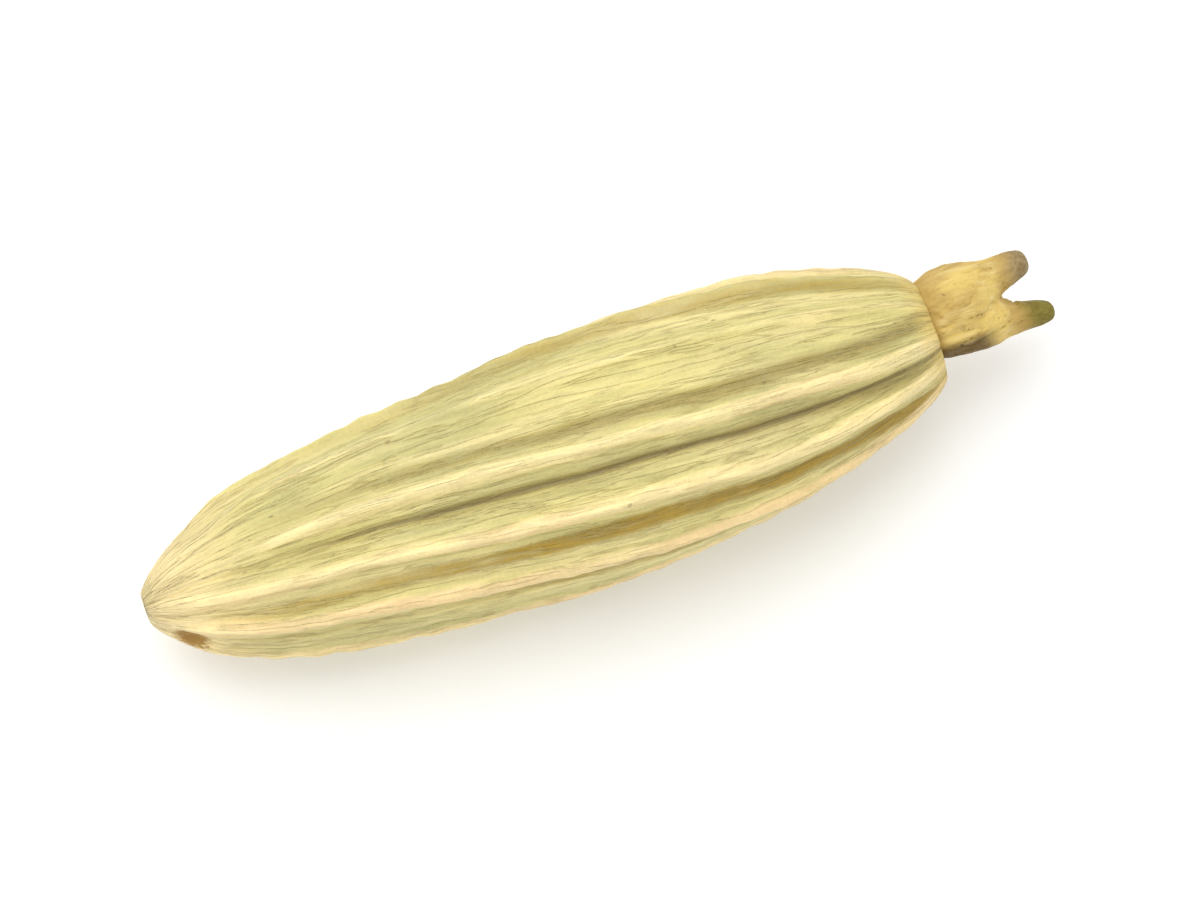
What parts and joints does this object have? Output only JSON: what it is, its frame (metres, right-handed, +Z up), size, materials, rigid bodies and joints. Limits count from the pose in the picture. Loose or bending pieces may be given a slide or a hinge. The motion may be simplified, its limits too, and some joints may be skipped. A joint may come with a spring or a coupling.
{
  "type": "fennel seed",
  "caption": "Whole dried fennel seed lying on its side: a plump ribbed spindle with wide furrows, a blunt base and a tan lobed tip that ends in short forked styles.",
  "frame": {"origin": "on the surface the seed lies on, under the middle of its bounding box", "axes": "+X along the seed towards its styles, +Y to the side, +Z up"},
  "size_m": [0.0098, 0.0026, 0.0025],
  "materials": {
    "fennel_skin": "dry skin with a low sheen: cream ribs, grey-olive furrows, tan tip, dark style ends"
  },
  "bodies": {
    "root": {"fennel_fruit": "fennel_skin"}
  },
  "joints": []
}
